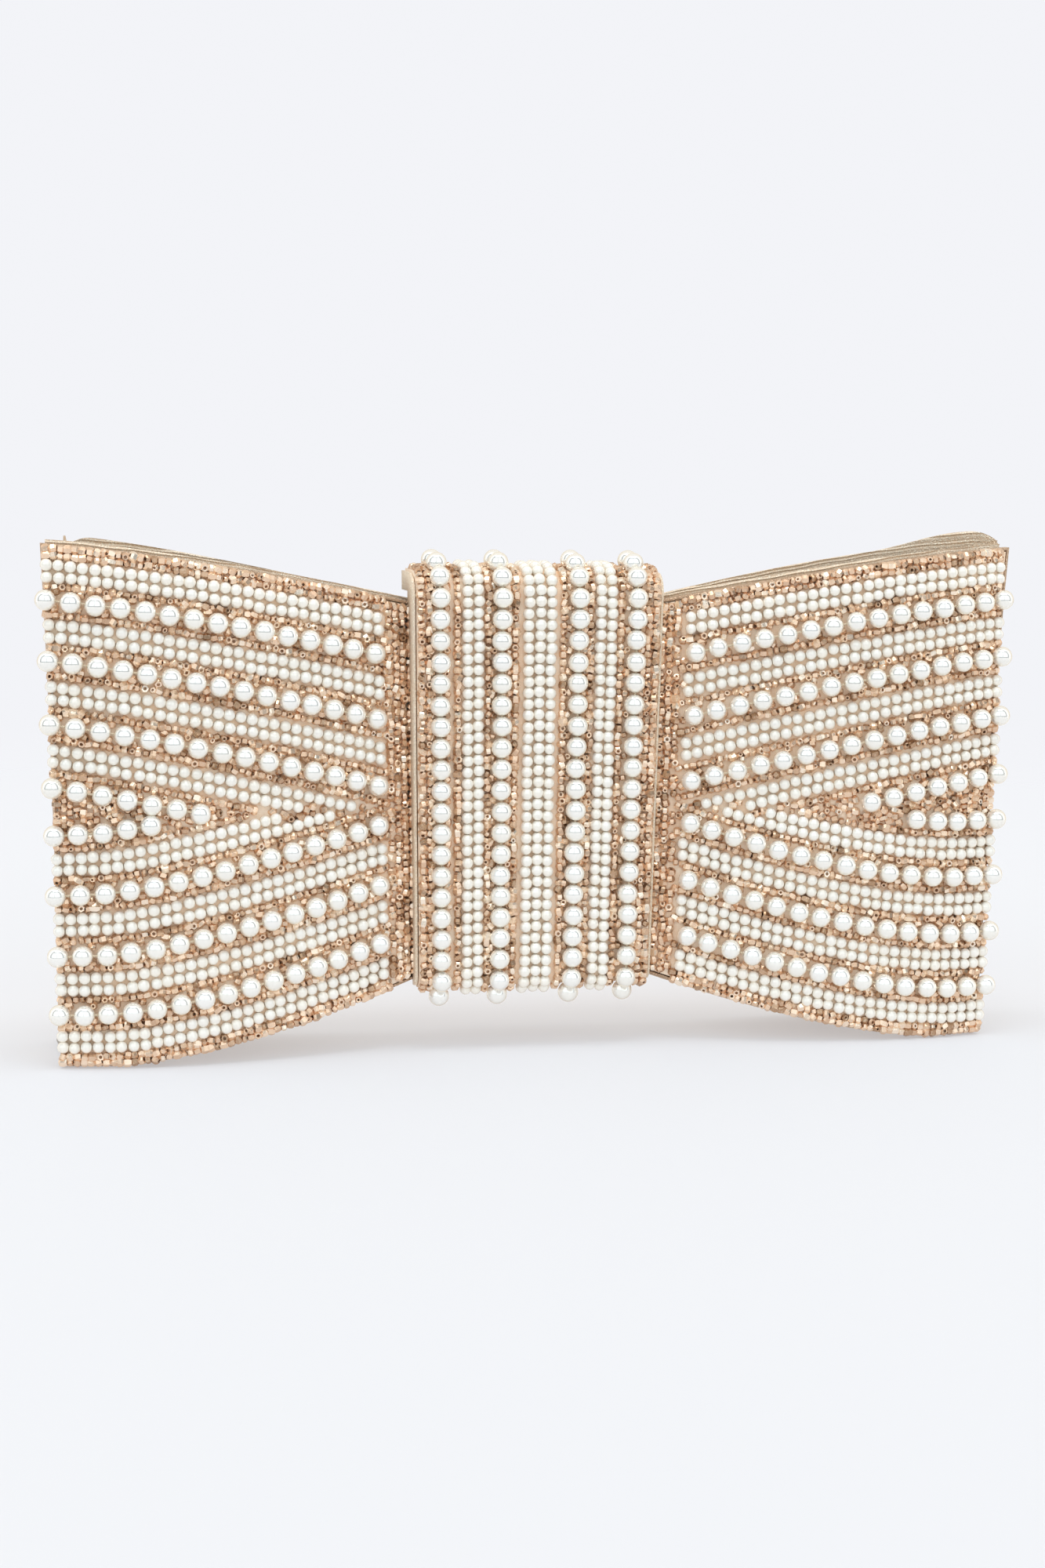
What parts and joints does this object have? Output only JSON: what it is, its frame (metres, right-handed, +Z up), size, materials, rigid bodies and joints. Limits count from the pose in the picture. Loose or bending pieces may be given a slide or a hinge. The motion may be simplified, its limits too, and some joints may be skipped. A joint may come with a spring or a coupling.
{
  "type": "evening clutch bag",
  "caption": "Bow-shaped beaded evening clutch: two stiff winged panels on an arched base, a knot over the middle, a front that swings open and a magnetic snap.",
  "frame": {"origin": "on the table under the middle of the closed bag's box", "axes": "+X along the bow to the wearer's right-hand wing as seen from the front, -Y towards the beaded front, +Z up"},
  "size_m": [0.2956, 0.0494, 0.1538],
  "materials": {
    "greyboard": "plain stiffening board, hidden inside the covers",
    "champagne_leatherette": "champagne gold metallic leatherette with a fine pebble grain",
    "rose_gold_leatherette": "rose gold metallic leatherette, turned over the panel's edge",
    "bead_cloth": "blush woven cloth that carries the small pearls and cut beads",
    "satin_lining": "champagne satin",
    "pearl": "ivory imitation pearl with a soft lustre",
    "gilt_metal": "polished gilt snap"
  },
  "bodies": {
    "back": {"back_board": "greyboard", "back_cover": "champagne_leatherette", "back_facing": "champagne_leatherette", "back_lining": "satin_lining", "back_edge_binding": "champagne_leatherette", "slip_pocket": "satin_lining", "slip_pocket_binding": "champagne_leatherette", "base_cover": "champagne_leatherette", "base_board": "greyboard", "base_lining": "satin_lining", "end_gusset_left": "champagne_leatherette", "end_gusset_right": "champagne_leatherette", "knot_back_pad": "greyboard", "knot_back_cover": "champagne_leatherette", "snap_socket": "gilt_metal", "snap_socket_washer": "gilt_metal"},
    "front": {"front_board": "greyboard", "front_facing": "champagne_leatherette", "front_lining": "satin_lining", "front_edge_binding": "rose_gold_leatherette", "bead_cloth_left": "bead_cloth", "bead_cloth_right": "bead_cloth", "knot_front_pad": "greyboard", "knot_bead_cloth": "bead_cloth", "knot_trim_left": "champagne_leatherette", "knot_trim_right": "champagne_leatherette", "snap_stud": "gilt_metal", "snap_stud_washer": "gilt_metal", "pearl_row_left_1": "pearl", "pearl_row_left_2": "pearl", "pearl_row_left_3": "pearl", "pearl_row_left_4": "pearl", "pearl_row_left_5": "pearl", "pearl_row_left_6": "pearl", "pearl_row_left_7": "pearl", "pearl_row_left_8": "pearl", "pearl_row_right_1": "pearl", "pearl_row_right_2": "pearl", "pearl_row_right_3": "pearl", "pearl_row_right_4": "pearl", "pearl_row_right_5": "pearl", "pearl_row_right_6": "pearl", "pearl_row_right_7": "pearl", "pearl_row_right_8": "pearl", "knot_pearl_column_1": "pearl", "knot_pearl_column_2": "pearl", "knot_pearl_column_3": "pearl", "knot_pearl_column_4": "pearl"}
  },
  "joints": [
    {"name": "front_opens", "type": "hinge", "parent": "back", "child": "front", "pos_m": [0, -0.0155, 0], "axis": [1, 0, 0], "range_deg": [0, 12], "deforming": ["end_gusset_left", "end_gusset_right"]}
  ]
}
